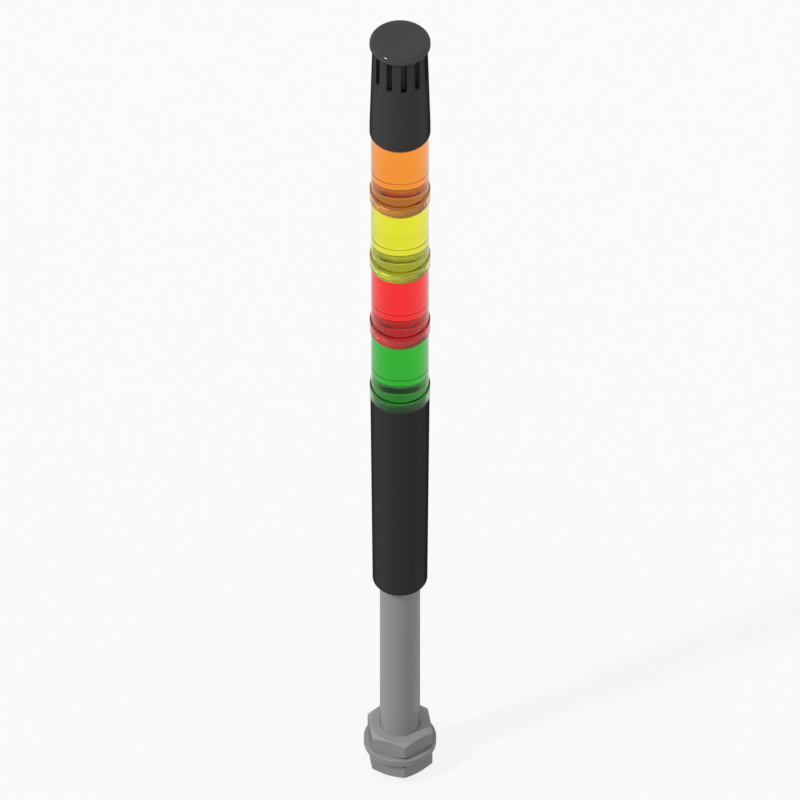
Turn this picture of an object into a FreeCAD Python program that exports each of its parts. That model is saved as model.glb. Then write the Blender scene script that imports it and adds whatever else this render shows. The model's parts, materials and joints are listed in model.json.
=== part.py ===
import FreeCAD, Part
import math
import os

# A slim signal tower: pole with two nuts and a washer, black base, four light
# modules and a sounder. Each module locks onto the one below by a bayonet.
# Sizes in millimetres and degrees. +Z is up, the pole's lower end is at z = 0
# and the tower's axis is the Z axis. Azimuth 0 faces -Y, azimuth 90 faces +X.

# Pole and its fastening
pole_diameter = 25.0
pole_wall = 2.0
pole_end_chamfer = 0.8
thread_tail = 5.0            # pole end below the lower nut
pole_exposed = 128.2         # bare pole between upper nut and base
pole_insert = 38.0           # pole length held in the bush
nut_flats = 38.0
nut_height = 12.7
nut_face_inset = 0.7         # radial, round end face inside the flats
nut_chamfer_angle = 30.0
nut_bore_chamfer = 0.25
washer_diameter = 45.3
washer_thickness = 4.9
washer_chamfer = 0.5
thread_clearance = 0.05      # radial, nut on pole
loose_clearance = 0.3        # radial, washer and base floor on pole

# Base housing
base_length = 161.6
base_top_rim = 0.475         # radial, how far the top stands out from a lens
base_floor = 3.0
base_foot_wall = 2.2
base_foot_round = 1.0
bush_lip = 3.0               # stop above the pole's upper end
bush_lip_setback = 0.3       # radial, lip's bore outside the pole's bore
bush_wall = 2.25
bush_clearance = 0.05        # radial, bush on pole and in the housing's foot
grub_diameter = 4.0
grub_height = 14.0           # above the base's foot
grub_recess = 0.6            # below the housing's surface
grub_socket_flats = 2.0
grub_socket_depth = 1.5
grub_clearance = 0.1
grub_azimuths = (150.0, 210.0)

# Base circuit board and terminals
base_board_width = 26.0
base_board_thickness = 1.6
terminal_count = 6
terminal_pitch = 3.2
terminal_depth = 8.0
terminal_height = 14.0
terminal_level = 18.0        # above the board's lower end
terminal_side_wall = 0.6
terminal_wire_hole = 2.2
terminal_screw_diameter = 2.2
terminal_screw_length = 3.0
terminal_screw_sink = 0.6
terminal_slot_width = 0.5
terminal_slot_depth = 0.6
terminal_clearance = 0.05

# Light module
module_pitch = 56.8
lens_colours = ("green", "red", "yellow", "orange")
lens_diameter = 35.75
lens_wall = 2.35
skirt_height = 9.2
skirt_rim = 0.875            # radial, how far a skirt stands out from a lens
skirt_wall = 2.15
turn_gap = 0.1               # axial, between a skirt and what it turns on

# Light guide with its neck
guide_clearance = 0.175      # radial, guide body in the lens
shoulder_clearance = 0.1     # guide body above the step in the skirt
neck_clearance = 0.3         # radial, neck in the collar's ring
neck_seat = 0.05             # between neck and contact plate
guide_top_gap = 0.1

# Upright circuit board in the guide's groove, with its light sources
board_azimuth = 130.0
board_width = 8.0
board_thickness = 1.2
board_inset = 0.5            # board's outer face inside the neck's surface
board_clearance = 0.1
led_count = 5
led_size = 2.8
led_depth = 1.0
led_end = 5.0                # from the ends of the guide's body to the first and last one
led_clearance = 0.3

# Contact plate, pins and tracks
plug_inset = 0.2             # radial, plate inside the neck's surface
plug_clearance = 0.2         # between plate and tracks
plug_thickness = 2.4
pin_diameter = 1.0
pin_head = 1.6               # pin length inside the plate
track_count = 5
track_first = 3.0            # radius of the innermost track
track_edge = 1.5             # outermost track's centre inside the plate's edge
track_width = 1.4
track_height = 0.4
track_sweep = 330.0
track_start = 80.0
pin_azimuth = 20.0
contact_gap = 0.05           # between a pin's tip and its track

# Bayonet collar and lugs
collar_plate = 2.4
collar_plate_clearance = 0.075
collar_ring_clearance = 0.3  # radial, ring in the skirt
collar_ring_wall = 3.3
lug_count = 3
lug_azimuth = 40.0
lug_sweep = 14.0
lug_foot = 1.3
lug_height = 1.4
lug_reach = 1.2              # how far a lug stands in from the skirt's bore
lug_root = 0.4               # how far a lug goes back into the skirt's wall
groove_clearance = 0.15
groove_cover = 1.25          # ring above the groove
twist_angle = 18.0

# Seal ring
seal_width = 0.8
seal_height = 1.1
seal_clearance = 0.1
seal_gap = 0.2               # between seal and collar ring

# Sounder
sounder_band = 7.2
sounder_height = 74.3
sounder_taper = 0.925        # radial, top of the housing inside a lens's surface
sounder_top_wall = 2.0
sounder_bore_height = 46.0   # straight part of the bore
slot_count = 12
slot_width = 3.8
slot_foot = 49.2
cap_thickness = 4.1
cap_edge_radius = 2.5
cap_spigot_depth = 4.0
cap_spigot_wall = 1.6
cap_spigot_clearance = 0.1
carrier_inset = 0.2          # radial, inside the contact plate's edge
carrier_wall = 1.4
carrier_height = 27.0
sounder_board_clearance = 2.025
sounder_board_thickness = 1.6
capsule_height = 12.0
capsule_edge = 1.0
capsule_port = 5.0
capsule_port_depth = 1.2
baffle_clearance = 0.45      # radial, ribs inside the cap's spigot
baffle_wall = 1.6
rib_count = 60
rib_depth = 1.6
rib_width = 0.6
baffle_top_gap = 0.1

# Helpers for cutting and for finding edges
over_cut = 1.0               # how far a cutting tool passes a surface
match = 0.01                 # how closely an edge has to match a size

# Heights on the pole
lower_nut_foot = thread_tail
washer_foot = lower_nut_foot + nut_height
upper_nut_foot = washer_foot + washer_thickness
base_foot = upper_nut_foot + nut_height + pole_exposed
base_top = base_foot + base_length
bush_foot = base_foot + base_floor
pole_top = bush_foot + pole_insert
bush_top = pole_top + bush_lip
sounder_foot = base_top + len(lens_colours) * module_pitch

# Heights in a module, above its foot
plug_foot = track_height + plug_clearance
plug_top = plug_foot + plug_thickness
groove_low = lug_foot - groove_clearance + turn_gap
groove_high = lug_foot + lug_height + groove_clearance + turn_gap
collar_ring_height = groove_high + groove_cover
skirt_step = collar_ring_height + seal_gap + seal_height
module_top = module_pitch - collar_plate
guide_shoulder = skirt_step + shoulder_clearance
guide_top = module_top - guide_top_gap
led_first = guide_shoulder + led_end
led_step = (guide_top - led_end - led_first) / (led_count - 1)

# Radii from the lens inwards
lens_radius = lens_diameter / 2
lens_bore_radius = lens_radius - lens_wall
skirt_radius = lens_radius + skirt_rim
skirt_bore_radius = skirt_radius - skirt_wall
guide_radius = lens_bore_radius - guide_clearance
collar_ring_radius = skirt_bore_radius - collar_ring_clearance
collar_bore_radius = collar_ring_radius - collar_ring_wall
lug_radius = skirt_bore_radius - lug_reach
neck_radius = collar_bore_radius - neck_clearance
plug_radius = neck_radius - plug_inset
track_pitch = (plug_radius - track_edge - track_first) / (track_count - 1)
board_distance = neck_radius - board_inset - board_thickness

# Radii of the pole and the base
pole_radius = pole_diameter / 2
pole_bore_radius = pole_radius - pole_wall
base_bore_radius = pole_radius + bush_clearance + bush_wall + bush_clearance
base_foot_radius = base_bore_radius + base_foot_wall
base_top_radius = lens_radius + base_top_rim

# Radii of the sounder
sounder_top_radius = lens_radius - sounder_taper
sounder_top_bore_radius = sounder_top_radius - sounder_top_wall
spigot_radius = sounder_top_bore_radius - cap_spigot_clearance
baffle_radius = spigot_radius - cap_spigot_wall - baffle_clearance - rib_depth
capsule_radius = baffle_radius + capsule_edge
carrier_radius = plug_radius - carrier_inset

ORIGIN = FreeCAD.Vector(0, 0, 0)
UP = FreeCAD.Vector(0, 0, 1)


def outline(points):
    """A closed face in the XZ plane from (radius, height) points."""
    corners = [FreeCAD.Vector(r, 0, z) for r, z in points]
    return Part.Face(Part.makePolygon(corners + corners[:1]))


def turned(points):
    """A body of revolution from (radius, height) points."""
    return outline(points).revolve(ORIGIN, UP, 360)


def ring(outer, inner, low, high):
    """A plain round tube."""
    return turned([(inner, low), (outer, low), (outer, high), (inner, high)])


def disc(radius, low, high):
    """A plain round disc."""
    return Part.makeCylinder(radius, high - low, FreeCAD.Vector(0, 0, low), UP)


def facing(shape, azimuth):
    """Turn a shape made at azimuth 0, which faces -Y, to another azimuth."""
    turned_shape = shape.copy()
    turned_shape.rotate(ORIGIN, UP, azimuth)
    return turned_shape


def sector(outer, inner, low, high, azimuth, sweep):
    """A part of a ring that starts at an azimuth and sweeps on from there."""
    face = outline([(inner, low), (outer, low), (outer, high), (inner, high)])
    body = face.revolve(ORIGIN, UP, sweep)
    body.rotate(ORIGIN, UP, azimuth - 90)
    return body


def block(width, near, far, low, high, azimuth):
    """A box that faces an azimuth: near and far are distances from the axis."""
    box = Part.makeBox(width, far - near, high - low, FreeCAD.Vector(-width / 2, -far, low))
    return facing(box, azimuth)


def spread(shape, count):
    """Copies of a shape, evenly spaced around the axis."""
    return [facing(shape, 360.0 / count * k) for k in range(count)]


def raised(shape, height):
    """A copy of a shape, moved up."""
    copy = shape.copy()
    copy.translate(FreeCAD.Vector(0, 0, height))
    return copy


def round_edges(shape, radius, height):
    """The circular edges of one radius at one height, without the seams."""
    edges = []
    for edge in shape.Edges:
        box = edge.BoundBox
        if abs(box.XMax - radius) < match and abs(box.ZMin - height) < match and box.ZLength < match:
            edges.append(edge)
    return edges


def export(name, shape):
    """Write one node."""
    shape.exportStep("parts/" + name + ".step")


def make_pole():
    """Tube with a small chamfer at its lower end, where the thread starts."""
    chamfer = pole_end_chamfer
    return turned([
        (pole_bore_radius, 0), (pole_radius - chamfer, 0), (pole_radius, chamfer),
        (pole_radius, pole_top), (pole_bore_radius, pole_top),
    ])


def make_nut(foot):
    """Hexagon nut with a corner to the front, chamfered at both ends."""
    corner = nut_flats / math.sqrt(3)
    hexagon = []
    for k in range(6):
        angle = math.radians(60 * k - 90)
        hexagon.append(FreeCAD.Vector(corner * math.cos(angle), corner * math.sin(angle), 0))
    prism = Part.Face(Part.makePolygon(hexagon + hexagon[:1])).extrude(UP * nut_height)
    face_radius = nut_flats / 2 - nut_face_inset
    reach = corner + over_cut
    drop = (reach - face_radius) * math.tan(math.radians(nut_chamfer_angle))
    bore = pole_radius + thread_clearance
    lead = nut_bore_chamfer
    form = turned([
        (bore + lead, 0), (face_radius, 0), (reach, drop), (reach, nut_height - drop),
        (face_radius, nut_height), (bore + lead, nut_height), (bore, nut_height - lead), (bore, lead),
    ])
    return raised(prism.common(form), foot)


def make_washer():
    """Thick round washer with chamfered outer edges."""
    bore = pole_radius + loose_clearance
    radius = washer_diameter / 2
    chamfer = washer_chamfer
    return turned([
        (bore, washer_foot), (radius - chamfer, washer_foot), (radius, washer_foot + chamfer),
        (radius, upper_nut_foot - chamfer), (radius - chamfer, upper_nut_foot), (bore, upper_nut_foot),
    ])


def base_outer_radius(height):
    """Radius of the tapered housing at a height above its foot."""
    return base_foot_radius + (base_top_radius - base_foot_radius) * height / base_length


def base_inner_radius(height):
    """Radius of the housing's inside, from its foot to the collar's seat."""
    return base_bore_radius + (lens_bore_radius - base_bore_radius) * height / base_length


def radial_rod(radius, near, far, height, azimuth):
    """A round rod along a radius of the tower."""
    rod = Part.makeCylinder(radius, far - near, FreeCAD.Vector(0, -near, height), FreeCAD.Vector(0, -1, 0))
    return facing(rod, azimuth)


def make_base_housing():
    """Tapered black tube with a floor around the pole and a rounded foot."""
    hole = pole_radius + loose_clearance
    body = turned([
        (hole, base_foot), (base_outer_radius(0), base_foot), (base_outer_radius(base_length), base_top),
        (base_inner_radius(base_length), base_top), (base_inner_radius(base_floor), bush_foot),
        (hole, bush_foot),
    ])
    body = body.makeFillet(base_foot_round, round_edges(body, base_foot_radius, base_foot))
    level = base_foot + grub_height
    for azimuth in grub_azimuths:
        hole_tool = radial_rod(grub_diameter / 2 + grub_clearance, pole_radius, 2 * base_foot_radius,
                               level, azimuth)
        body = body.cut(hole_tool)
    return body


def make_pole_bush():
    """Cast socket with the housing's taper: the pole goes in up to the lip."""
    outer_foot = base_inner_radius(base_floor) - bush_clearance
    outer_top = base_inner_radius(bush_top - base_foot) - bush_clearance
    bore = pole_radius + bush_clearance
    lip = pole_bore_radius + bush_lip_setback
    body = turned([
        (bore, bush_foot), (outer_foot, bush_foot), (outer_top, bush_top), (lip, bush_top),
        (lip, pole_top), (bore, pole_top),
    ])
    level = base_foot + grub_height
    for azimuth in grub_azimuths:
        hole_tool = radial_rod(grub_diameter / 2 + grub_clearance, pole_bore_radius, 2 * base_foot_radius,
                               level, azimuth)
        body = body.cut(hole_tool)
    return body


def make_pole_screws():
    """Two grub screws with hexagon sockets, pressed onto the pole."""
    level = base_foot + grub_height
    head = base_outer_radius(grub_height) - grub_recess
    screws = []
    for azimuth in grub_azimuths:
        screw = radial_rod(grub_diameter / 2, pole_radius, head, level, azimuth)
        corner = grub_socket_flats / math.sqrt(3)
        points = []
        for k in range(6):
            angle = math.radians(60 * k)
            points.append(FreeCAD.Vector(corner * math.cos(angle), -head, level + corner * math.sin(angle)))
        socket = Part.Face(Part.makePolygon(points + points[:1]))
        socket = socket.extrude(FreeCAD.Vector(0, grub_socket_depth, 0))
        screws.append(screw.cut(facing(socket, azimuth)))
    return Part.makeCompound(screws)


def make_base_board():
    """Upright board from the bush to the collar."""
    thickness = base_board_thickness
    top = base_top - collar_plate
    return Part.makeBox(base_board_width, thickness, top - bush_top,
                        FreeCAD.Vector(-base_board_width / 2, -thickness / 2, bush_top))


def terminal_centres():
    """Places of the terminals across the block."""
    first = -(terminal_count - 1) / 2 * terminal_pitch
    return [first + k * terminal_pitch for k in range(terminal_count)]


def make_terminal_block():
    """Moulded block on the board's front, a wire hole below each screw."""
    width = terminal_count * terminal_pitch + 2 * terminal_side_wall
    face = -base_board_thickness / 2
    low = bush_top + terminal_level
    body = Part.makeBox(width, terminal_depth, terminal_height,
                        FreeCAD.Vector(-width / 2, face - terminal_depth, low))
    screw_level = low + terminal_height / 2
    for x in terminal_centres():
        front = FreeCAD.Vector(x, face - terminal_depth, screw_level)
        radius = terminal_screw_diameter / 2 + terminal_clearance
        depth = terminal_screw_sink + terminal_screw_length
        body = body.cut(Part.makeCylinder(radius, depth, front, FreeCAD.Vector(0, 1, 0)))
        wire = FreeCAD.Vector(x, face - terminal_depth / 2, low)
        wire_depth = terminal_height / 2 - terminal_screw_diameter
        body = body.cut(Part.makeCylinder(terminal_wire_hole / 2, wire_depth, wire, UP))
    return body


def make_terminal_screws():
    """One slotted screw in each terminal."""
    front = -base_board_thickness / 2 - terminal_depth + terminal_screw_sink
    level = bush_top + terminal_level + terminal_height / 2
    radius = terminal_screw_diameter / 2
    screws = []
    for x in terminal_centres():
        screw = Part.makeCylinder(radius, terminal_screw_length, FreeCAD.Vector(x, front, level),
                                  FreeCAD.Vector(0, 1, 0))
        corner = FreeCAD.Vector(x - terminal_slot_width / 2, front, level - radius)
        slot = Part.makeBox(terminal_slot_width, terminal_slot_depth, 2 * radius, corner)
        screws.append(screw.cut(slot))
    return Part.makeCompound(screws)


def make_lug(azimuth):
    """One bayonet lug, at its locked place, as a part of the skirt."""
    outer = skirt_bore_radius + lug_root
    return sector(outer, lug_radius, lug_foot, lug_foot + lug_height, azimuth - lug_sweep / 2, lug_sweep)


def add_lugs(body):
    """The three lugs inside a skirt."""
    for k in range(lug_count):
        body = body.fuse(make_lug(lug_azimuth + 360.0 / lug_count * k))
    return body.removeSplitter()


def cut_groove(body, azimuth):
    """One L-shaped groove: a way down from the rim and a way round to the lock."""
    outer = collar_ring_radius + over_cut
    floor = lug_radius - groove_clearance
    spare = math.degrees(groove_clearance / floor)
    half = lug_sweep / 2 + spare
    rim = collar_ring_height + over_cut
    way_round = sector(outer, floor, groove_low, groove_high, azimuth - half, 2 * half + twist_angle)
    way_down = sector(outer, floor, groove_low, rim, azimuth + twist_angle - half, 2 * half)
    return body.cut(way_round.fuse(way_down))


def make_collar(plane):
    """Plate with the bayonet ring on it: the plate's top lies in the plane."""
    plate_radius = lens_bore_radius - collar_plate_clearance
    bore = collar_bore_radius
    body = turned([
        (0, -collar_plate), (plate_radius, -collar_plate), (plate_radius, 0), (collar_ring_radius, 0),
        (collar_ring_radius, collar_ring_height), (bore, collar_ring_height), (bore, 0), (0, 0),
    ])
    for k in range(lug_count):
        body = cut_groove(body, lug_azimuth + 360.0 / lug_count * k)
    return raised(body, plane)


def track_radius(k):
    """Middle radius of a contact track, counted from the axis."""
    return track_first + k * track_pitch


def make_tracks(plane):
    """Open contact rings on the collar's plate."""
    half = track_width / 2
    rings = []
    for k in range(track_count):
        radius = track_radius(k)
        rings.append(sector(radius + half, radius - half, 0, track_height, track_start, track_sweep))
    return raised(Part.makeCompound(rings), plane)


def make_lens(plane):
    """Tinted tube with its wider skirt, the skirt's bore and the lugs."""
    foot = turn_gap
    body = turned([
        (skirt_bore_radius, foot), (skirt_radius, foot), (skirt_radius, skirt_height),
        (lens_radius, skirt_height), (lens_radius, module_pitch), (lens_bore_radius, module_pitch),
        (lens_bore_radius, skirt_step), (skirt_bore_radius, skirt_step),
    ])
    return raised(add_lugs(body), plane)


def make_guide(plane):
    """Wide body over a short narrower neck, and a groove for the board."""
    top = guide_top
    foot = plug_top + neck_seat
    body = turned([
        (0, foot), (neck_radius, foot), (neck_radius, guide_shoulder), (guide_radius, guide_shoulder),
        (guide_radius, top), (0, top),
    ])
    groove = block(board_width + 2 * board_clearance, board_distance - board_clearance,
                   guide_radius + over_cut, foot - over_cut, top + over_cut, board_azimuth)
    led_low = led_first - led_size / 2 - led_clearance
    led_high = led_first + (led_count - 1) * led_step + led_size / 2 + led_clearance
    channel = block(led_size + 2 * led_clearance, board_distance - led_depth - led_clearance,
                    board_distance, led_low, led_high, board_azimuth)
    return raised(body.cut(groove).cut(channel), plane)


def make_board(plane):
    """Narrow board that stands on the contact plate and ends at the collar."""
    far = board_distance + board_thickness
    board = block(board_width, board_distance, far, plug_top, module_top, board_azimuth)
    return raised(board, plane)


def make_leds(plane):
    """A row of light sources on the board's inner face."""
    leds = []
    for k in range(led_count):
        low = led_first + k * led_step - led_size / 2
        leds.append(block(led_size, board_distance - led_depth, board_distance, low, low + led_size,
                          board_azimuth))
    return raised(Part.makeCompound(leds), plane)


def pin_axis(k):
    """Place of a contact pin in the plate, over its track."""
    angle = math.radians(pin_azimuth + 360.0 / track_count * k - 90)
    return FreeCAD.Vector(math.cos(angle), math.sin(angle), 0) * track_radius(k)


def make_plug(plane):
    """Round contact plate with a blind hole for each pin."""
    body = disc(plug_radius, plug_foot, plug_top)
    for k in range(track_count):
        place = pin_axis(k) + UP * plug_foot
        body = body.cut(Part.makeCylinder(pin_diameter / 2, pin_head, place, UP))
    return raised(body, plane)


def make_pins(plane):
    """Contact pins that reach down to the tracks below."""
    tip = track_height + contact_gap
    pins = []
    for k in range(track_count):
        place = pin_axis(k) + UP * tip
        pins.append(Part.makeCylinder(pin_diameter / 2, plug_foot + pin_head - tip, place, UP))
    return raised(Part.makeCompound(pins), plane)


def make_seal(plane):
    """Flat ring under the step inside the skirt."""
    outer = skirt_bore_radius - seal_clearance
    body = ring(outer, outer - seal_width, skirt_step - seal_height, skirt_step)
    return raised(body, plane)


def make_sounder_housing():
    """Tapered housing with a straight band, slots open to the top, and lugs."""
    body = turned([
        (skirt_bore_radius, turn_gap), (skirt_radius, turn_gap), (skirt_radius, sounder_band),
        (sounder_top_radius, sounder_height), (sounder_top_bore_radius, sounder_height),
        (lens_bore_radius, sounder_bore_height), (lens_bore_radius, skirt_step),
        (skirt_bore_radius, skirt_step),
    ])
    slot = block(slot_width, sounder_top_bore_radius - over_cut, skirt_radius + over_cut, slot_foot,
                 sounder_height + over_cut, 0)
    for tool in spread(slot, slot_count):
        body = body.cut(tool)
    return raised(add_lugs(body), sounder_foot)


def make_sounder_cap():
    """Round cap with a rounded top edge and a spigot inside the slotted wall."""
    spigot_bore = spigot_radius - cap_spigot_wall
    low = sounder_height
    high = sounder_height + cap_thickness
    foot = low - cap_spigot_depth
    body = turned([
        (0, low), (spigot_bore, low), (spigot_bore, foot), (spigot_radius, foot), (spigot_radius, low),
        (skirt_radius, low), (skirt_radius, high), (0, high),
    ])
    body = body.makeFillet(cap_edge_radius, round_edges(body, skirt_radius, high))
    return raised(body, sounder_foot)


def make_sounder_carrier():
    """Tube between the contact plate and the round board."""
    low = sounder_foot + plug_top
    return ring(carrier_radius, carrier_radius - carrier_wall, low, low + carrier_height)


def make_sounder_board():
    """Round board on the carrier."""
    low = sounder_foot + plug_top + carrier_height
    radius = lens_bore_radius - sounder_board_clearance
    return disc(radius, low, low + sounder_board_thickness)


def make_sounder_capsule():
    """Flat round capsule with a small sound port in its top."""
    low = sounder_foot + plug_top + carrier_height + sounder_board_thickness
    high = low + capsule_height
    port = capsule_port / 2
    return turned([
        (0, low), (capsule_radius, low), (capsule_radius, high - capsule_edge), (baffle_radius, high),
        (port, high), (port, high - capsule_port_depth), (0, high - capsule_port_depth),
    ])


def make_sounder_baffle():
    """Sleeve with upright ribs, from the capsule up to the cap."""
    low = sounder_foot + plug_top + carrier_height + sounder_board_thickness + capsule_height
    high = sounder_foot + sounder_height - baffle_top_gap
    radius = baffle_radius
    body = ring(radius, radius - baffle_wall, low, high)
    points = []
    for k in range(rib_count):
        angle = 360.0 / rib_count * k
        half_root = math.degrees(rib_width / 2 / radius)
        half_tip = math.degrees(rib_width / 2 / (radius + rib_depth))
        for r, a in ((radius, -half_root), (radius + rib_depth, -half_tip),
                     (radius + rib_depth, half_tip), (radius, half_root)):
            turn = math.radians(angle + a)
            points.append(FreeCAD.Vector(r * math.cos(turn), r * math.sin(turn), low))
    star = Part.Face(Part.makePolygon(points + points[:1])).extrude(UP * (high - low))
    core = disc(radius - baffle_wall / 2, low, high)
    return star.cut(core).fuse(body).removeSplitter()


def build_pole():
    """Pole, nuts and washer."""
    export("pole", make_pole())
    export("lower_nut", make_nut(lower_nut_foot))
    export("panel_washer", make_washer())
    export("upper_nut", make_nut(upper_nut_foot))


def build_base():
    """The base with what is inside it and the collar on top."""
    export("base_housing", make_base_housing())
    export("pole_bush", make_pole_bush())
    export("pole_screws", make_pole_screws())
    export("base_board", make_base_board())
    export("terminal_block", make_terminal_block())
    export("terminal_screws", make_terminal_screws())
    export("base_collar", make_collar(base_top))
    export("base_tracks", make_tracks(base_top))


def build_module(colour, plane):
    """One light module, standing on a plane."""
    export(colour + "_lens", make_lens(plane))
    export(colour + "_guide", make_guide(plane))
    export(colour + "_board", make_board(plane))
    export(colour + "_leds", make_leds(plane))
    export(colour + "_plug", make_plug(plane))
    export(colour + "_pins", make_pins(plane))
    export(colour + "_seal", make_seal(plane))
    export(colour + "_collar", make_collar(plane + module_pitch))
    export(colour + "_tracks", make_tracks(plane + module_pitch))


def build_sounder():
    """The sounder on top."""
    export("sounder_housing", make_sounder_housing())
    export("sounder_cap", make_sounder_cap())
    export("sounder_carrier", make_sounder_carrier())
    export("sounder_board", make_sounder_board())
    export("sounder_capsule", make_sounder_capsule())
    export("sounder_baffle", make_sounder_baffle())
    export("sounder_plug", make_plug(sounder_foot))
    export("sounder_pins", make_pins(sounder_foot))
    export("sounder_seal", make_seal(sounder_foot))


os.makedirs("parts", exist_ok=True)
build_pole()
build_base()
for level, colour in enumerate(lens_colours):
    build_module(colour, base_top + level * module_pitch)
build_sounder()
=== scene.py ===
import json
import math

import bmesh
import bpy
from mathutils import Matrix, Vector


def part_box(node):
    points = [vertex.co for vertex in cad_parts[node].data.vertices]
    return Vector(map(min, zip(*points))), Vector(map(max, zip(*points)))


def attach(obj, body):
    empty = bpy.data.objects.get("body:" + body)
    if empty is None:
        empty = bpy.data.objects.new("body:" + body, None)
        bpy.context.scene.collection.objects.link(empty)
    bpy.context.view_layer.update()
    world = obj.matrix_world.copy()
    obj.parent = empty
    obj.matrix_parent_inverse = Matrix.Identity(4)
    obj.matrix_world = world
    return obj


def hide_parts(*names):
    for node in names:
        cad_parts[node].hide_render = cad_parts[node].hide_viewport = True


# A stack light: a sounder and four clear light modules on a tapered base, its pole and its nuts

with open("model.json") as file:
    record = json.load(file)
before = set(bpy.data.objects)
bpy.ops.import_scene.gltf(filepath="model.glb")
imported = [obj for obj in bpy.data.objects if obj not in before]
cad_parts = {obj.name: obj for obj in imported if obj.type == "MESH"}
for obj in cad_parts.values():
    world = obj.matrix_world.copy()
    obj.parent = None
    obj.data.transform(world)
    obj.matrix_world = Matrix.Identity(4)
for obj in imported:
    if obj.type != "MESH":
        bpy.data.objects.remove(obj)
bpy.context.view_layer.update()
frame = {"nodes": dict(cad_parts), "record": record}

MM = 0.001
COLOURS = ("green", "red", "yellow", "orange")

# Camera: a very long lens stands in for the photo's parallel view
photo_azimuth = -7.7
photo_elevation = 45.0
camera_lens = 1600.0
sensor_width = 36.0
picture_width = 494.6 * MM       # metres of the object across the picture
aim_height = 319.0 * MM          # height on the axis at the picture's middle
clip_end = 100.0

# Light
sky_strength = 0.65
backdrop_white = 0.965
ceiling_grey = 0.42              # what clear and glossy pieces see overhead
wall_top = 0.30                  # upward share of a direction where the white wall ends
ceiling_start = 0.50             # and where the grey ceiling starts
key_azimuth = -70.0
key_elevation = 48.0
key_strength = 1.45
key_angle = 4.0
key_distance = 2.0
floor_size = 60.0
floor_albedo = 0.17
floor_roughness = 0.9
floor_tone = 0.9                 # the floor's own tone where the camera sees its shadow
floor_shadow_share = 0.12        # how much of the shaded floor the camera sees

# Looks of surfaces: each facing value is 0 where they face the eye and 1 at a grazing edge
matte_from = 0.45                # facing value where a plastic's shine starts to fade
matte_full = 0.7                 # and where it is gone
edge_shade_from = 0.81                 # facing value where the painted shade on the edge starts
# facing value where the painted edge shade is full
edge_shade_full = 0.89
plastic_edge_shade = 0.15              # share of its colour that a plastic's edge keeps under the painted shade
# share of its colour that a metal's edge keeps under the painted shade
metal_edge_shade = 0.5
coat_roughness = 0.12
plastic_swing = 0.05             # how far a plastic's roughness varies
metal_swing = 0.06
broad_waves = 60.0               # waves per metre
broad_detail = 3.0
grain_waves = 2600.0
grain_detail = 2.0
grain_depth = 0.01 * MM
milky_waves = 1800.0
milky_depth = 0.008 * MM
milky_roughness = 0.6
milky_tone = (0.78, 0.88, 0.78, 1)
milky_share = 0.35               # light that a milky piece lets through
mark_waves = 100.0
mark_detail = 4.0
mark_depth = 0.006 * MM
lens_depth = 115.0               # strength of the tint in the depth, per metre
lens_index = 1.52
lens_shine = 0.4                 # share of the outside reflection that a lens keeps
lens_waves = 45.0
lens_wave_detail = 1.0
lens_wave_depth = 0.004 * MM
entering_tint = 0.25             # power of the surface tint for the light that enters
noise_low = 0.3                  # a noise keeps mostly between these two
noise_high = 0.7

# Turned pieces
turn_steps = 192
sector_steps = 12
hole_steps = 32
merge_distance = 1e-7            # corners closer than this, in metres, become one
on_axis = 1e-9                   # a corner nearer to the axis, in metres, is on it
corner_support = 0.04            # flat strip beside a rounded corner, keeps the wall's shading true
smooth_angle = 32.0
small_round = 0.4                # a corner under this radius gets few steps, others get many
few_steps = 3
many_steps = 8
thread_sharp_angle = 50.0
corner_break_steps = 3

# Sizes in millimetres that the frame's boxes don't give
skirt_height = 9.2
lens_radius = 17.875
lens_bore = 15.525
skirt_bore = 16.6
skirt_step = 5.5
turn_gap = 0.1
guide_shoulder = 5.6
neck_radius = 12.7
board_azimuth = 130.0
board_groove = {"width": 8.2, "near": 10.9}
led_channel = {"width": 3.4, "near": 9.7, "far": 11.0, "low": 8.9, "high": 51.0}
plate_clearance = 0.075
collar_ring_bore = 13.0
collar_ring_height = 4.2
lug_azimuths = (40.0, 160.0, 280.0)
lug_sweep = 14.0
lug_low = 1.3
lug_high = 2.7
lug_tip = 15.4
groove_gap = 0.15
twist = 18.0
pole_radius = 12.5
pole_bore = 10.5
thread_pitch = 1.5
thread_depth = 0.75
thread_top = 34.0
thread_rows_per_turn = 10
thread_steps = 96
pole_chamfer = 0.8
nut_flats = 38.0
nut_face_radius = 18.3
nut_face_slope = 30.0            # degrees
nut_bore = 12.55
nut_lead = 0.25
washer_bore = 12.8
grub_azimuths = (150.0, 210.0)
grub_height = 14.0
grub_hole = 2.1
base_bore = 12.8
base_floor = 3.0
base_foot_radius = 17.05
base_foot_inner = 14.85
sounder_band = 7.2
sounder_top_radius = 16.95
sounder_top_bore = 14.95
sounder_bore_height = 46.0
slot_count = 12
slot_width = 3.8
slot_foot = 49.2
cap_edge = 2.5
spigot_depth = 4.0
spigot_wall = 1.6
spigot_radius = 14.85
over_cut = 1.0
lug_root = 0.4                   # how far a lug reaches into the skirt's wall
shoulder_inset = 0.1
seal_wall = 0.8

# Corner radii
round_fine = 0.1
round_small = 0.15
round_soft = 0.2
round_edge = 0.25
round_wall = 0.3
round_nut = 0.4
round_washer = 0.5
round_skirt = 0.55
round_band = 0.6
round_foot = 1.0
nut_corner_break = 0.35


def direction(azimuth, elevation):
    """Unit vector towards an azimuth, where 0 is -Y, and an elevation."""
    a = math.radians(azimuth)
    e = math.radians(elevation)
    return Vector((math.sin(a) * math.cos(e), -math.cos(a) * math.cos(e), math.sin(e)))


def new_material(name):
    """A material with its node tree and Principled shader."""
    material = bpy.data.materials.new(name)
    material.use_nodes = True
    tree = material.node_tree
    return material, tree, tree.nodes["Principled BSDF"]


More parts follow.
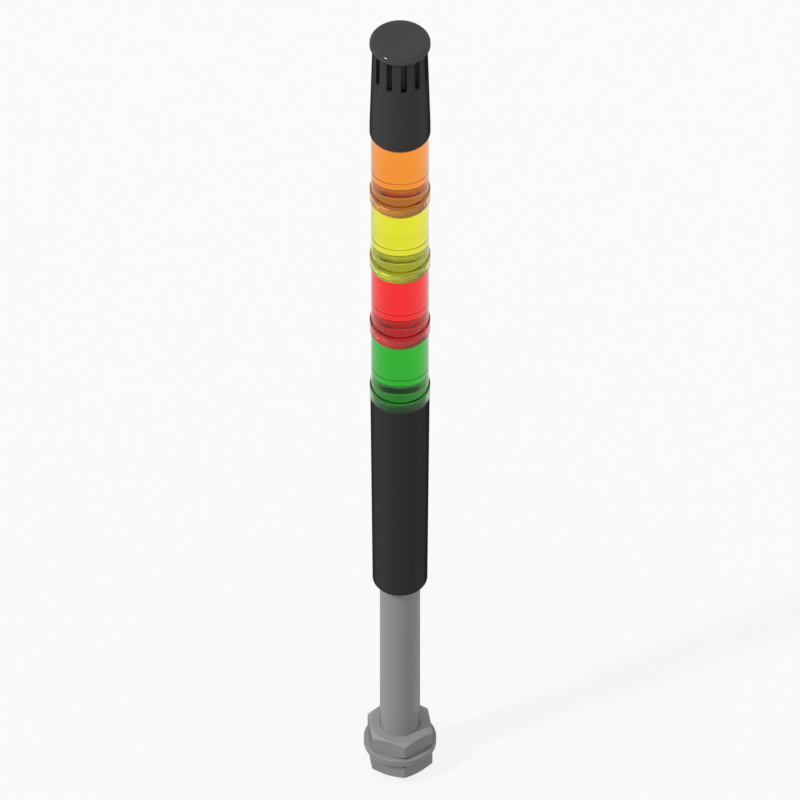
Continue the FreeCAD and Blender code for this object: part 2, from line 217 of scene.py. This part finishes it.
def add_noise(tree, scale, detail):
    """Noise on the object's own coordinates: scale is in waves per metre."""
    coordinates = tree.nodes.new("ShaderNodeTexCoord")
    noise = tree.nodes.new("ShaderNodeTexNoise")
    noise.inputs["Scale"].default_value = scale
    noise.inputs["Detail"].default_value = detail
    tree.links.new(coordinates.outputs["Object"], noise.inputs["Vector"])
    return noise


def add_bump(tree, shader, height, distance):
    """Bump from a height output, in metres."""
    bump = tree.nodes.new("ShaderNodeBump")
    bump.inputs["Distance"].default_value = distance
    tree.links.new(height, bump.inputs["Height"])
    tree.links.new(bump.outputs["Normal"], shader.inputs["Normal"])


def map_range(tree, source, start, end, low, high):
    """A number that goes from low to high while its source goes from start to end."""
    ramp = tree.nodes.new("ShaderNodeMapRange")
    ramp.inputs["From Min"].default_value = start
    ramp.inputs["From Max"].default_value = end
    ramp.inputs["To Min"].default_value = low
    ramp.inputs["To Max"].default_value = high
    tree.links.new(source, ramp.inputs["Value"])
    return ramp.outputs["Result"]


def mix_shaders(tree, share, first, second):
    """A mix of two shaders, where a share of 1 is all of the second."""
    mix = tree.nodes.new("ShaderNodeMixShader")
    tree.links.new(share, mix.inputs["Fac"])
    tree.links.new(first, mix.inputs[1])
    tree.links.new(second, mix.inputs[2])
    return mix.outputs["Shader"]


def vary(tree, source, low, high, target):
    """A number that varies between two values with a texture."""
    tree.links.new(map_range(tree, source, noise_low, noise_high, low, high), target)


def vary_colour(tree, source, dark, light, target):
    """A colour that varies between two with a texture."""
    mix = tree.nodes.new("ShaderNodeMix")
    mix.data_type = "RGBA"
    mix.inputs["A"].default_value = dark
    mix.inputs["B"].default_value = light
    tree.links.new(source, mix.inputs["Factor"])
    tree.links.new(mix.outputs["Result"], target)


def turned_away(tree, start, end, low, high):
    """A number that goes from low to high as a surface turns away from the eye."""
    grazing = tree.nodes.new("ShaderNodeLayerWeight")
    return map_range(tree, grazing.outputs["Facing"], start, end, low, high)


def paint_edge_shade(tree, source, dark, light, share, target):
    """A colour that varies with a texture, with painted shade where it turns away: it keeps a share of
    itself there.
    """
    edge = tree.nodes.new("ShaderNodeMix")
    edge.data_type = "RGBA"
    edge.inputs["B"].default_value = tuple(share * value for value in dark[:3]) + (1,)
    vary_colour(tree, source, dark, light, edge.inputs["A"])
    tree.links.new(turned_away(tree, edge_shade_from, edge_shade_full, 0.0, 1.0), edge.inputs["Factor"])
    tree.links.new(edge.outputs["Result"], target)


def moulded_plastic(name, dark, light, roughness, gloss, coat):
    """Moulded plastic: a fine spark-eroded grain, uneven gloss and painted shade on its grazing edges."""
    material, tree, shader = new_material(name)
    shine = turned_away(tree, matte_from, matte_full, gloss, 0.0)
    tree.links.new(shine, shader.inputs["Specular IOR Level"])
    broad = add_noise(tree, broad_waves, broad_detail)
    fine = add_noise(tree, grain_waves, grain_detail)
    if coat:
        tree.links.new(turned_away(tree, matte_from, matte_full, coat, 0.0), shader.inputs["Coat Weight"])
        shader.inputs["Coat Roughness"].default_value = coat_roughness
    # Painted shade: the base colour darkens toward the grazing edges, as a dark outline
    paint_edge_shade(tree, broad.outputs["Fac"], dark, light, plastic_edge_shade, shader.inputs["Base Color"])
    vary(tree, broad.outputs["Fac"], roughness - plastic_swing, roughness + plastic_swing,
         shader.inputs["Roughness"])
    add_bump(tree, shader, fine.outputs["Fac"], grain_depth)
    return material


def milky_plastic(name, colour, share):
    """Milky plastic that lets part of the light through, as inside a lit lens."""
    material, tree, shader = new_material(name)
    shader.inputs["Base Color"].default_value = colour
    shader.inputs["Roughness"].default_value = milky_roughness
    shader.inputs["Transmission Weight"].default_value = share
    fine = add_noise(tree, milky_waves, grain_detail)
    add_bump(tree, shader, fine.outputs["Fac"], milky_depth)
    return material


def satin_metal(name, dark, light, roughness, metallic, lay):
    """Satin metal with faint marks: lay stretches them around or along the axis."""
    material, tree, shader = new_material(name)
    coordinates = tree.nodes.new("ShaderNodeTexCoord")
    mapping = tree.nodes.new("ShaderNodeMapping")
    mapping.inputs["Scale"].default_value = lay
    noise = tree.nodes.new("ShaderNodeTexNoise")
    noise.inputs["Scale"].default_value = mark_waves
    noise.inputs["Detail"].default_value = mark_detail
    tree.links.new(coordinates.outputs["Object"], mapping.inputs["Vector"])
    tree.links.new(mapping.outputs["Vector"], noise.inputs["Vector"])
    shader.inputs["Metallic"].default_value = metallic
    # Painted shade: the base colour darkens toward the grazing edges, as a dark outline
    paint_edge_shade(tree, noise.outputs["Fac"], dark, light, metal_edge_shade, shader.inputs["Base Color"])
    vary(tree, noise.outputs["Fac"], roughness - metal_swing, roughness + metal_swing,
         shader.inputs["Roughness"])
    add_bump(tree, shader, noise.outputs["Fac"], mark_depth)
    return material


def tinted_clear(name, surface, colour, density, index, roughness, shine):
    """Clear plastic: soft shine outside, full reflection inside, a tint that grows with thickness."""
    material, tree, shader = new_material(name)
    shader.inputs["Base Color"].default_value = surface
    side = tree.nodes.new("ShaderNodeNewGeometry")
    mirror = tree.nodes.new("ShaderNodeMix")
    mirror.data_type = "RGBA"
    mirror.inputs["A"].default_value = (shine, shine, shine, 1)
    mirror.inputs["B"].default_value = (1, 1, 1, 1)
    tree.links.new(side.outputs["Backfacing"], mirror.inputs["Factor"])
    tree.links.new(mirror.outputs["Result"], shader.inputs["Specular Tint"])
    shader.inputs["Transmission Weight"].default_value = 1.0
    shader.inputs["IOR"].default_value = index
    shader.inputs["Roughness"].default_value = roughness
    tint = tree.nodes.new("ShaderNodeVolumeAbsorption")
    tint.inputs["Color"].default_value = colour
    tint.inputs["Density"].default_value = density
    tree.links.new(tint.outputs["Volume"], tree.nodes["Material Output"].inputs["Volume"])
    waves = add_noise(tree, lens_waves, lens_wave_detail)
    add_bump(tree, shader, waves.outputs["Fac"], lens_wave_depth)
    path = tree.nodes.new("ShaderNodeLightPath")
    through = tree.nodes.new("ShaderNodeBsdfTransparent")
    through.inputs["Color"].default_value = tuple(value ** entering_tint for value in surface)
    clear = mix_shaders(tree, path.outputs["Is Shadow Ray"], shader.outputs["BSDF"], through.outputs["BSDF"])
    tree.links.new(clear, tree.nodes["Material Output"].inputs["Surface"])
    return material


# Dark and light tone, roughness, shine and coat
plastics = {
    "black_plastic": ((0.036, 0.036, 0.037, 1), (0.043, 0.043, 0.044, 1), 0.5, 0.05, 0.0),
    "sounder_plastic": ((0.050, 0.050, 0.051, 1), (0.057, 0.057, 0.058, 1), 0.5, 0.05, 0.08),
    "cap_plastic": ((0.050, 0.050, 0.051, 1), (0.057, 0.057, 0.058, 1), 0.5, 0.05, 0.5),
    "baffle_plastic": ((0.12, 0.12, 0.12, 1), (0.14, 0.14, 0.14, 1), 0.5, 0.2, 0.0),
    "grey_plastic": ((0.5, 0.5, 0.5, 1), (0.55, 0.55, 0.55, 1), 0.5, 0.2, 0.0),
    "board": ((0.012, 0.10, 0.04, 1), (0.016, 0.14, 0.05, 1), 0.3, 0.5, 0.0),
    "terminal_plastic": ((0.04, 0.16, 0.09, 1), (0.05, 0.19, 0.11, 1), 0.45, 0.5, 0.0),
    "capsule_plastic": ((0.012, 0.012, 0.012, 1), (0.016, 0.016, 0.016, 1), 0.3, 0.5, 0.0),
    "led": ((0.8, 0.76, 0.5, 1), (0.86, 0.82, 0.56, 1), 0.3, 0.5, 0.0),
}
# Dark and light tone, roughness, metallic share and lay of the marks
metals = {
    "pole_metal": ((0.33, 0.33, 0.335, 1), (0.36, 0.36, 0.365, 1), 0.5, 0.0, (6.0, 6.0, 0.6)),
    "nut_metal": ((0.29, 0.29, 0.295, 1), (0.32, 0.32, 0.325, 1), 0.5, 0.0, (2.0, 2.0, 8.0)),
    "washer_metal": ((0.29, 0.29, 0.295, 1), (0.32, 0.32, 0.325, 1), 0.5, 0.0, (2.0, 2.0, 8.0)),
    "cast_metal": ((0.5, 0.5, 0.51, 1), (0.58, 0.58, 0.59, 1), 0.45, 1.0, (10.0, 10.0, 10.0)),
    "screw_metal": ((0.42, 0.42, 0.43, 1), (0.5, 0.5, 0.51, 1), 0.3, 1.0, (10.0, 10.0, 10.0)),
    "contact_metal": ((0.70, 0.52, 0.22, 1), (0.78, 0.6, 0.28, 1), 0.25, 1.0, (10.0, 10.0, 10.0)),
}
# Tint of the surface, tint and strength of the depth, index, roughness and outside shine
clears = {
    "silicone": ((0.95, 0.95, 0.95, 1), (0.9, 0.9, 0.9, 1), 60.0, 1.41, 0.25, 1.0),
    "green_clear": ((0.20, 0.62, 0.20, 1), (0.4, 0.93, 0.4, 1), lens_depth, lens_index, 0.0, lens_shine),
    "red_clear": ((0.97, 0.20, 0.20, 1), (0.998, 0.4, 0.4, 1), lens_depth, lens_index, 0.0, lens_shine),
    "yellow_clear": ((0.87, 0.88, 0.20, 1), (0.98, 0.98, 0.4, 1), lens_depth, lens_index, 0.0, lens_shine),
    "orange_clear": ((0.97, 0.56, 0.20, 1), (0.998, 0.864, 0.4, 1), lens_depth, lens_index, 0.0, lens_shine),
}

MATERIALS = {"milky_plastic": milky_plastic("milky_plastic", milky_tone, milky_share)}
for name, look in plastics.items():
    MATERIALS[name] = moulded_plastic(name, *look)
for name, look in metals.items():
    MATERIALS[name] = satin_metal(name, *look)
for name, look in clears.items():
    MATERIALS[name] = tinted_clear(name, *look)


def rounded(points):
    """An outline from (radius, height, corner radius) points, corners as arcs."""
    result = []
    count = len(points)
    for k in range(count):
        here = Vector(points[k][:2])
        radius = points[k][2] if len(points[k]) > 2 else 0.0
        if radius <= 0:
            result.append(tuple(here))
            continue
        back = Vector(points[k - 1][:2]) - here
        ahead = Vector(points[(k + 1) % count][:2]) - here
        angle = back.angle(ahead)
        reach = radius / math.tan(angle / 2)
        start = here + back.normalized() * reach
        end = here + ahead.normalized() * reach
        steps = few_steps if radius < small_round else many_steps
        inward = (back.normalized() + ahead.normalized()).normalized()
        centre = here + inward * (radius / math.sin(angle / 2))
        first = start - centre
        turn = first.angle_signed(end - centre)
        result.append(tuple(start + back.normalized() * corner_support))
        for step in range(steps + 1):
            a = -turn * step / steps
            spoke = Vector((first.x * math.cos(a) - first.y * math.sin(a),
                            first.x * math.sin(a) + first.y * math.cos(a)))
            result.append(tuple(centre + spoke))
        result.append(tuple(end + ahead.normalized() * corner_support))
    return result


def ring_point(bm, radius, height, angle):
    """A corner on the mesh from a radius and a height in millimetres."""
    return bm.verts.new((radius * MM * math.cos(angle), radius * MM * math.sin(angle), height * MM))


def finish_mesh(name, bm, sharp_angle=smooth_angle):
    """Turn a bmesh into an object with smooth shading between its sharp edges."""
    bmesh.ops.remove_doubles(bm, verts=bm.verts, dist=merge_distance)
    bmesh.ops.recalc_face_normals(bm, faces=bm.faces)
    mesh = bpy.data.meshes.new(name)
    bm.to_mesh(mesh)
    bm.free()
    shade(mesh, sharp_angle)
    piece = bpy.data.objects.new(name, mesh)
    bpy.context.scene.collection.objects.link(piece)
    return piece


def shade(mesh, angle=smooth_angle):
    """Smooth faces, with edges over an angle kept sharp."""
    mesh.polygons.foreach_set("use_smooth", [True] * len(mesh.polygons))
    mesh.set_sharp_from_angle(angle=math.radians(angle))


def join_round(bm, columns):
    """Faces from each column of corners to the next, round to the first, none along the axis."""
    count = len(columns[0])
    for k, here in enumerate(columns):
        ahead = columns[(k + 1) % len(columns)]
        for i in range(count):
            j = (i + 1) % count
            if max(here[i].co.xy.length, here[j].co.xy.length) > on_axis:
                bm.faces.new((here[i], ahead[i], ahead[j], here[j]))


def lathe(name, points):
    """Turn a closed outline in millimetres around the axis."""
    profile = rounded(points)
    bm = bmesh.new()
    columns = []
    for k in range(turn_steps):
        a = 2 * math.pi * k / turn_steps
        columns.append([ring_point(bm, r, h, a) for r, h in profile])
    join_round(bm, columns)
    return finish_mesh(name, bm)


def sector(name, outer, inner, low, high, azimuth, sweep):
    """A part of a ring, from an azimuth on."""
    bm = bmesh.new()
    columns = []
    for k in range(sector_steps + 1):
        a = math.radians(azimuth - 90 + sweep * k / sector_steps)
        column = []
        for r, h in ((inner, low), (outer, low), (outer, high), (inner, high)):
            column.append(ring_point(bm, r, h, a))
        columns.append(column)
    for k in range(sector_steps):
        for i in range(4):
            j = (i + 1) % 4
            bm.faces.new((columns[k][i], columns[k + 1][i], columns[k + 1][j], columns[k][j]))
    bm.faces.new(columns[0])
    bm.faces.new(columns[-1])
    return finish_mesh(name, bm)


def block(name, width, near, far, low, high, azimuth):
    """A box that faces an azimuth."""
    a = math.radians(azimuth)
    out = Vector((math.sin(a), -math.cos(a), 0))
    side = Vector((math.cos(a), math.sin(a), 0))
    bm = bmesh.new()
    corners = []
    for h in (low, high):
        for s, d in ((-1, near), (1, near), (1, far), (-1, far)):
            corners.append(bm.verts.new((out * d + side * (s * width / 2) + Vector((0, 0, h))) * MM))
    for face in ((0, 1, 2, 3), (4, 5, 6, 7), (0, 1, 5, 4), (1, 2, 6, 5), (2, 3, 7, 6), (3, 0, 4, 7)):
        bm.faces.new([corners[i] for i in face])
    return finish_mesh(name, bm)


def combine(target, tools, operation):
    """Boolean of a piece with tools, applied; the tools are removed."""
    for tool in tools:
        modifier = target.modifiers.new("combine", "BOOLEAN")
        modifier.operation = operation
        modifier.solver = "EXACT"
        modifier.object = tool
    graph = bpy.context.evaluated_depsgraph_get()
    mesh = bpy.data.meshes.new_from_object(target.evaluated_get(graph))
    target.modifiers.clear()
    old = target.data
    target.data = mesh
    bpy.data.meshes.remove(old)
    for tool in tools:
        bpy.data.objects.remove(tool)
    shade(target.data)
    return target


def lift(piece, height):
    """Move a piece's mesh up, in metres."""
    for vertex in piece.data.vertices:
        vertex.co.z += height
    return piece


def twin(piece, name):
    """A copy of a piece with a mesh of its own."""
    copy = piece.copy()
    copy.data = piece.data.copy()
    copy.name = name
    bpy.context.scene.collection.objects.link(copy)
    return copy


slot_of = {entry["node"]: entry["material_slot"] for entry in frame["record"]["subparts"]}
own_material = {
    "green_collar": "milky_plastic", "red_collar": "milky_plastic", "yellow_collar": "milky_plastic",
    "orange_collar": "milky_plastic", "sounder_housing": "sounder_plastic", "sounder_cap": "cap_plastic",
    "sounder_baffle": "baffle_plastic",
}
body_of = {}
for body, members in frame["record"]["behaviour"]["bodies"].items():
    for member in members:
        body_of[member] = body


def material_of(node):
    """The material that a node shows."""
    return MATERIALS[own_material.get(node, slot_of[node])]


def place(piece, *nodes):
    """Let a piece stand for its nodes: same body, same slot and their material."""
    piece.data.materials.clear()
    piece.data.materials.append(material_of(nodes[0]))
    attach(piece, body_of[nodes[0]])
    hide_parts(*nodes)


def node_foot(node):
    """Lowest height of a node, in metres."""
    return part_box(node)[0].z


def lug_tools(foot=0.0):
    """The three lugs of a skirt as separate pieces to be joined."""
    tools = []
    for azimuth in lug_azimuths:
        tools.append(sector("lug", skirt_bore + lug_root, lug_tip, foot + lug_low, foot + lug_high,
                            azimuth - lug_sweep / 2, lug_sweep))
    return tools


def make_lens(pitch, guide_top):
    """Lens and light guide in one clear body: tube, skirt, lugs, core, neck and groove."""
    body = lathe("lens", [
        (skirt_bore, turn_gap, round_small), (skirt_radius, turn_gap, round_edge),
        (skirt_radius, skirt_height, round_skirt), (lens_radius, skirt_height, round_wall),
        (lens_radius, pitch, round_fine), (lens_bore, pitch, round_fine), (lens_bore, guide_top),
        (0, guide_top), (0, guide_foot), (neck_radius, guide_foot, round_soft),
        (neck_radius, guide_shoulder, round_soft), (lens_bore - shoulder_inset, guide_shoulder),
        (lens_bore, skirt_step), (skirt_bore, skirt_step, round_soft),
    ])
    combine(body, lug_tools(), "UNION")
    groove = block("groove", board_groove["width"], board_groove["near"], guide_radius,
                   guide_foot - over_cut, guide_top + over_cut, board_azimuth)
    channel = block("channel", led_channel["width"], led_channel["near"], led_channel["far"],
                    led_channel["low"], led_channel["high"], board_azimuth)
    return combine(body, [groove, channel], "DIFFERENCE")


def make_collar(plate):
    """Collar: plate below height 0 and the grooved bayonet ring above it."""
    body = lathe("collar", [
        (0, -plate), (collar_plate_radius, -plate, round_soft), (collar_plate_radius, 0),
        (collar_radius, 0, round_fine), (collar_radius, collar_ring_height, round_edge),
        (collar_ring_bore, collar_ring_height, round_edge), (collar_ring_bore, 0, round_soft), (0, 0),
    ])
    floor = lug_tip - groove_gap
    half = lug_sweep / 2 + math.degrees(groove_gap / floor)
    low = lug_low - groove_gap + turn_gap
    high = lug_high + groove_gap + turn_gap
    tools = []
    for azimuth in lug_azimuths:
        tools.append(sector("way_round", collar_radius + over_cut, floor, low, high,
                            azimuth - half, 2 * half + twist))
        tools.append(sector("way_down", collar_radius + over_cut, floor,
                            low, collar_ring_height + over_cut, azimuth + twist - half, 2 * half))
    return combine(body, tools, "DIFFERENCE")


def make_seal():
    """Flat ring below the step of the skirt."""
    low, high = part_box("green_seal")
    outer = high.x / MM
    foot = (low.z - module_foot["green"]) / MM
    head = (high.z - module_foot["green"]) / MM
    inner = outer - seal_wall
    return lathe("seal", [
        (inner, foot, round_soft), (outer, foot, round_soft), (outer, head, round_fine),
        (inner, head, round_fine),
    ])


def make_pole():
    """Tube whose lower end carries a fine thread."""
    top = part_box("pole")[1].z / MM
    end_radius = pole_radius - pole_chamfer
    row_step = thread_pitch / thread_rows_per_turn
    heights = []
    height = row_step
    while height < thread_top:
        heights.append(height)
        height += row_step
    bm = bmesh.new()
    columns = []
    for k in range(thread_steps):
        share = k / thread_steps
        column = [(pole_bore, 0.0), (end_radius, 0.0)]
        for h in heights:
            phase = (h / thread_pitch - share) % 1.0
            groove = thread_depth * (1 - abs(2 * phase - 1)) * min(1.0, (thread_top - h) / thread_pitch)
            column.append((min(end_radius + h, pole_radius - groove), h))
        column += [(pole_radius, thread_top), (pole_radius, top), (pole_bore, top)]
        columns.append([ring_point(bm, r, h, 2 * math.pi * share) for r, h in column])
    join_round(bm, columns)
    return finish_mesh("pole_tube", bm, thread_sharp_angle)


def make_nut(name):
    """Hexagon nut with a corner to the front and chamfered ends."""
    low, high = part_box(name)
    height = (high.z - low.z) / MM
    corner = nut_flats / math.sqrt(3)
    bm = bmesh.new()
    bottom = []
    top = []
    for k in range(6):
        a = math.radians(60 * k - 90)
        x = corner * math.cos(a) * MM
        y = corner * math.sin(a) * MM
        bottom.append(bm.verts.new((x, y, -over_cut * MM)))
        top.append(bm.verts.new((x, y, (height + over_cut) * MM)))
    bm.faces.new(bottom)
    bm.faces.new(top)
    for k in range(6):
        j = (k + 1) % 6
        bm.faces.new((bottom[k], bottom[j], top[j], top[k]))
    uprights = [e for e in bm.edges if abs(e.verts[0].co.z - e.verts[1].co.z) > MM]
    bmesh.ops.bevel(bm, geom=uprights, offset=nut_corner_break * MM, segments=corner_break_steps,
                    affect="EDGES")
    prism = finish_mesh(name + "_body", bm)
    reach = corner + over_cut
    drop = (reach - nut_face_radius) * math.tan(math.radians(nut_face_slope))
    form = lathe("form", [
        (nut_bore + nut_lead, 0), (nut_face_radius, 0, round_nut), (reach, drop), (reach, height - drop),
        (nut_face_radius, height, round_nut), (nut_bore + nut_lead, height), (nut_bore, height - nut_lead),
        (nut_bore, nut_lead),
    ])
    combine(prism, [form], "INTERSECT")
    return lift(prism, low.z)


def make_washer():
    """Thick round washer with rounded edges."""
    low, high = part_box("panel_washer")
    height = (high.z - low.z) / MM
    radius = high.x / MM
    ring = lathe("washer_ring", [
        (washer_bore, 0, round_wall), (radius, 0, round_washer), (radius, height, round_washer),
        (washer_bore, height, round_wall),
    ])
    return lift(ring, low.z)


def make_base_housing():
    """Long tapered housing with its rounded foot and the two screw holes."""
    low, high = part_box("base_housing")
    length = (high.z - low.z) / MM
    top_radius = high.x / MM
    body = lathe("base_body", [
        (base_bore, 0, round_wall), (base_foot_radius, 0, round_foot), (top_radius, length, round_wall),
        (lens_bore, length, round_soft), (base_foot_inner, base_floor), (base_bore, base_floor),
    ])
    holes = []
    for azimuth in grub_azimuths:
        a = math.radians(azimuth)
        out = Vector((math.sin(a), -math.cos(a), 0))
        bm = bmesh.new()
        bmesh.ops.create_cone(bm, cap_ends=True, segments=hole_steps,
                              radius1=grub_hole * MM, radius2=grub_hole * MM,
                              depth=(base_foot_radius + over_cut - pole_radius) * MM)
        hole = finish_mesh("hole", bm)
        turn = out.to_track_quat("Z", "Y").to_matrix().to_4x4()
        hole.data.transform(turn)
        middle = (base_foot_radius + over_cut + pole_radius) / 2
        hole.location = (out * middle + Vector((0, 0, grub_height))) * MM
        holes.append(hole)
    bpy.context.view_layer.update()
    combine(body, holes, "DIFFERENCE")
    return lift(body, low.z)


def make_sounder_housing():
    """Tapered sounder housing with its slots and lugs, on height 0."""
    height = (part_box("sounder_housing")[1].z - module_foot["sounder"]) / MM
    body = lathe("sounder_body", [
        (skirt_bore, turn_gap, round_soft), (skirt_radius, turn_gap, round_wall),
        (skirt_radius, sounder_band, round_band), (sounder_top_radius, height, round_soft),
        (sounder_top_bore, height, round_soft), (lens_bore, sounder_bore_height), (lens_bore, skirt_step),
        (skirt_bore, skirt_step),
    ])
    tools = []
    for k in range(slot_count):
        tools.append(block("slot", slot_width, sounder_top_bore - over_cut, skirt_radius + over_cut,
                           slot_foot, height + over_cut, 360.0 / slot_count * k))
    combine(body, tools, "DIFFERENCE")
    combine(body, lug_tools(), "UNION")
    return lift(body, module_foot["sounder"])


def make_cap():
    """Round cap with a full edge and its spigot."""
    low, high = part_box("sounder_cap")
    top = (high.z - low.z) / MM
    radius = high.x / MM
    spigot_bore = spigot_radius - spigot_wall
    body = lathe("cap_body", [
        (0, spigot_depth), (spigot_bore, spigot_depth), (spigot_bore, 0, round_soft),
        (spigot_radius, 0, round_soft), (spigot_radius, spigot_depth), (radius, spigot_depth, round_edge),
        (radius, top, cap_edge), (0, top),
    ])
    return lift(body, low.z)


module_foot = {}
for colour in COLOURS:
    module_foot[colour] = node_foot(colour + "_lens") - turn_gap * MM
module_foot["sounder"] = node_foot("sounder_housing") - turn_gap * MM

skirt_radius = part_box("green_lens")[1].x / MM
module_pitch = module_foot["red"] - module_foot["green"]
guide_low, guide_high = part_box("green_guide")
guide_radius = guide_high.x / MM
guide_foot = (guide_low.z - module_foot["green"]) / MM
collar_low, collar_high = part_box("base_collar")
collar_radius = collar_high.x / MM
collar_plate = (module_foot["green"] - collar_low.z) / MM
collar_plate_radius = lens_bore - plate_clearance


def dress_modules():
    """The four light modules and every collar."""
    lens = make_lens(module_pitch / MM, (guide_high.z - module_foot["green"]) / MM)
    collar = make_collar(collar_plate)
    seal = make_seal()
    for colour in COLOURS:
        foot = module_foot[colour]
        place(lift(twin(lens, colour + "_tube"), foot), colour + "_lens", colour + "_guide")
        place(lift(twin(seal, colour + "_ring"), foot), colour + "_seal")
        place(lift(twin(collar, colour + "_bayonet"), foot + module_pitch), colour + "_collar")
    place(lift(twin(collar, "base_bayonet"), module_foot["green"]), "base_collar")
    place(lift(twin(seal, "sounder_ring"), module_foot["sounder"]), "sounder_seal")
    for pattern in (lens, collar, seal):
        bpy.data.objects.remove(pattern)


def dress_stand():
    """Pole, nuts, washer and base."""
    place(make_pole(), "pole")
    place(make_nut("lower_nut"), "lower_nut")
    place(make_nut("upper_nut"), "upper_nut")
    place(make_washer(), "panel_washer")
    place(make_base_housing(), "base_housing")


def dress_sounder():
    """Housing and cap of the sounder."""
    place(make_sounder_housing(), "sounder_housing")
    place(make_cap(), "sounder_cap")


def dress_nodes():
    """Materials for the nodes that stay as they are."""
    for name, node in frame["nodes"].items():
        node.data.materials.clear()
        node.data.materials.append(material_of(name))


def seen_ray(tree):
    """1 for rays from the camera, off gloss and through clear pieces, else 0."""
    path = tree.nodes.new("ShaderNodeLightPath")
    first = tree.nodes.new("ShaderNodeMath")
    first.operation = "MAXIMUM"
    second = tree.nodes.new("ShaderNodeMath")
    second.operation = "MAXIMUM"
    tree.links.new(path.outputs["Is Camera Ray"], first.inputs[0])
    tree.links.new(path.outputs["Is Glossy Ray"], first.inputs[1])
    tree.links.new(first.outputs["Value"], second.inputs[0])
    tree.links.new(path.outputs["Is Transmission Ray"], second.inputs[1])
    return second.outputs["Value"]


def make_floor():
    """Pale floor: the camera sees only a share of its shadows."""
    bm = bmesh.new()
    half = floor_size / 2
    corners = ((-half, -half), (half, -half), (half, half), (-half, half))
    bm.faces.new([bm.verts.new((x, y, 0)) for x, y in corners])
    mesh = bpy.data.meshes.new("floor")
    bm.to_mesh(mesh)
    bm.free()
    floor = bpy.data.objects.new("floor", mesh)
    bpy.context.scene.collection.objects.link(floor)
    material, tree, shader = new_material("floor")
    shader.inputs["Base Color"].default_value = (floor_albedo, floor_albedo, floor_albedo, 1)
    shader.inputs["Roughness"].default_value = floor_roughness
    shader.inputs["Specular IOR Level"].default_value = 0.0
    pale = tree.nodes.new("ShaderNodeBsdfDiffuse")
    pale.inputs["Color"].default_value = (floor_tone, floor_tone, floor_tone, 1)
    glow = tree.nodes.new("ShaderNodeEmission")
    glow.inputs["Color"].default_value = (backdrop_white, backdrop_white, backdrop_white, 1)
    glow_share = tree.nodes.new("ShaderNodeValue")
    glow_share.outputs["Value"].default_value = 1 - floor_shadow_share
    seen = mix_shaders(tree, glow_share.outputs["Value"], pale.outputs["BSDF"], glow.outputs["Emission"])
    surface = mix_shaders(tree, seen_ray(tree), shader.outputs["BSDF"], seen)
    tree.links.new(surface, tree.nodes["Material Output"].inputs["Surface"])
    mesh.materials.append(material)


def make_surroundings():
    """Even white light, and for what the camera sees a white wall under a grey ceiling."""
    world = bpy.data.worlds.new("studio")
    world.use_nodes = True
    tree = world.node_tree
    sky = tree.nodes["Background"]
    sky.inputs["Color"].default_value = (1, 1, 1, 1)
    sky.inputs["Strength"].default_value = sky_strength
    seen = tree.nodes.new("ShaderNodeBackground")
    seen.inputs["Color"].default_value = (1, 1, 1, 1)
    coordinates = tree.nodes.new("ShaderNodeTexCoord")
    parts = tree.nodes.new("ShaderNodeSeparateXYZ")
    tree.links.new(coordinates.outputs["Generated"], parts.inputs["Vector"])
    wall = map_range(tree, parts.outputs["Z"], wall_top, ceiling_start, backdrop_white, ceiling_grey)
    tree.links.new(wall, seen.inputs["Strength"])
    surface = mix_shaders(tree, seen_ray(tree), sky.outputs["Background"], seen.outputs["Background"])
    tree.links.new(surface, tree.nodes["World Output"].inputs["Surface"])
    bpy.context.scene.world = world


def make_key_light():
    """One soft sun from the upper left of the photo."""
    sun = bpy.data.lights.new("key", "SUN")
    sun.energy = key_strength
    sun.angle = math.radians(key_angle)
    lamp = bpy.data.objects.new("key", sun)
    towards = direction(key_azimuth, key_elevation)
    lamp.rotation_euler = towards.to_track_quat("Z", "Y").to_euler()
    lamp.location = towards * key_distance
    bpy.context.scene.collection.objects.link(lamp)


def make_camera():
    """A long lens from the photo's angle, aimed at the tower's axis."""
    data = bpy.data.cameras.new("camera")
    data.lens = camera_lens
    data.sensor_width = sensor_width
    data.clip_end = clip_end
    camera = bpy.data.objects.new("camera", data)
    back = direction(photo_azimuth, photo_elevation)
    distance = picture_width * camera_lens / sensor_width
    camera.location = Vector((0, 0, aim_height)) + back * distance
    camera.rotation_euler = back.to_track_quat("Z", "Y").to_euler()
    bpy.context.scene.collection.objects.link(camera)
    bpy.context.scene.camera = camera


make_camera()
make_floor()
make_surroundings()
make_key_light()
dress_nodes()
dress_stand()
dress_modules()
dress_sounder()
bpy.context.scene.view_settings.view_transform = "Standard"
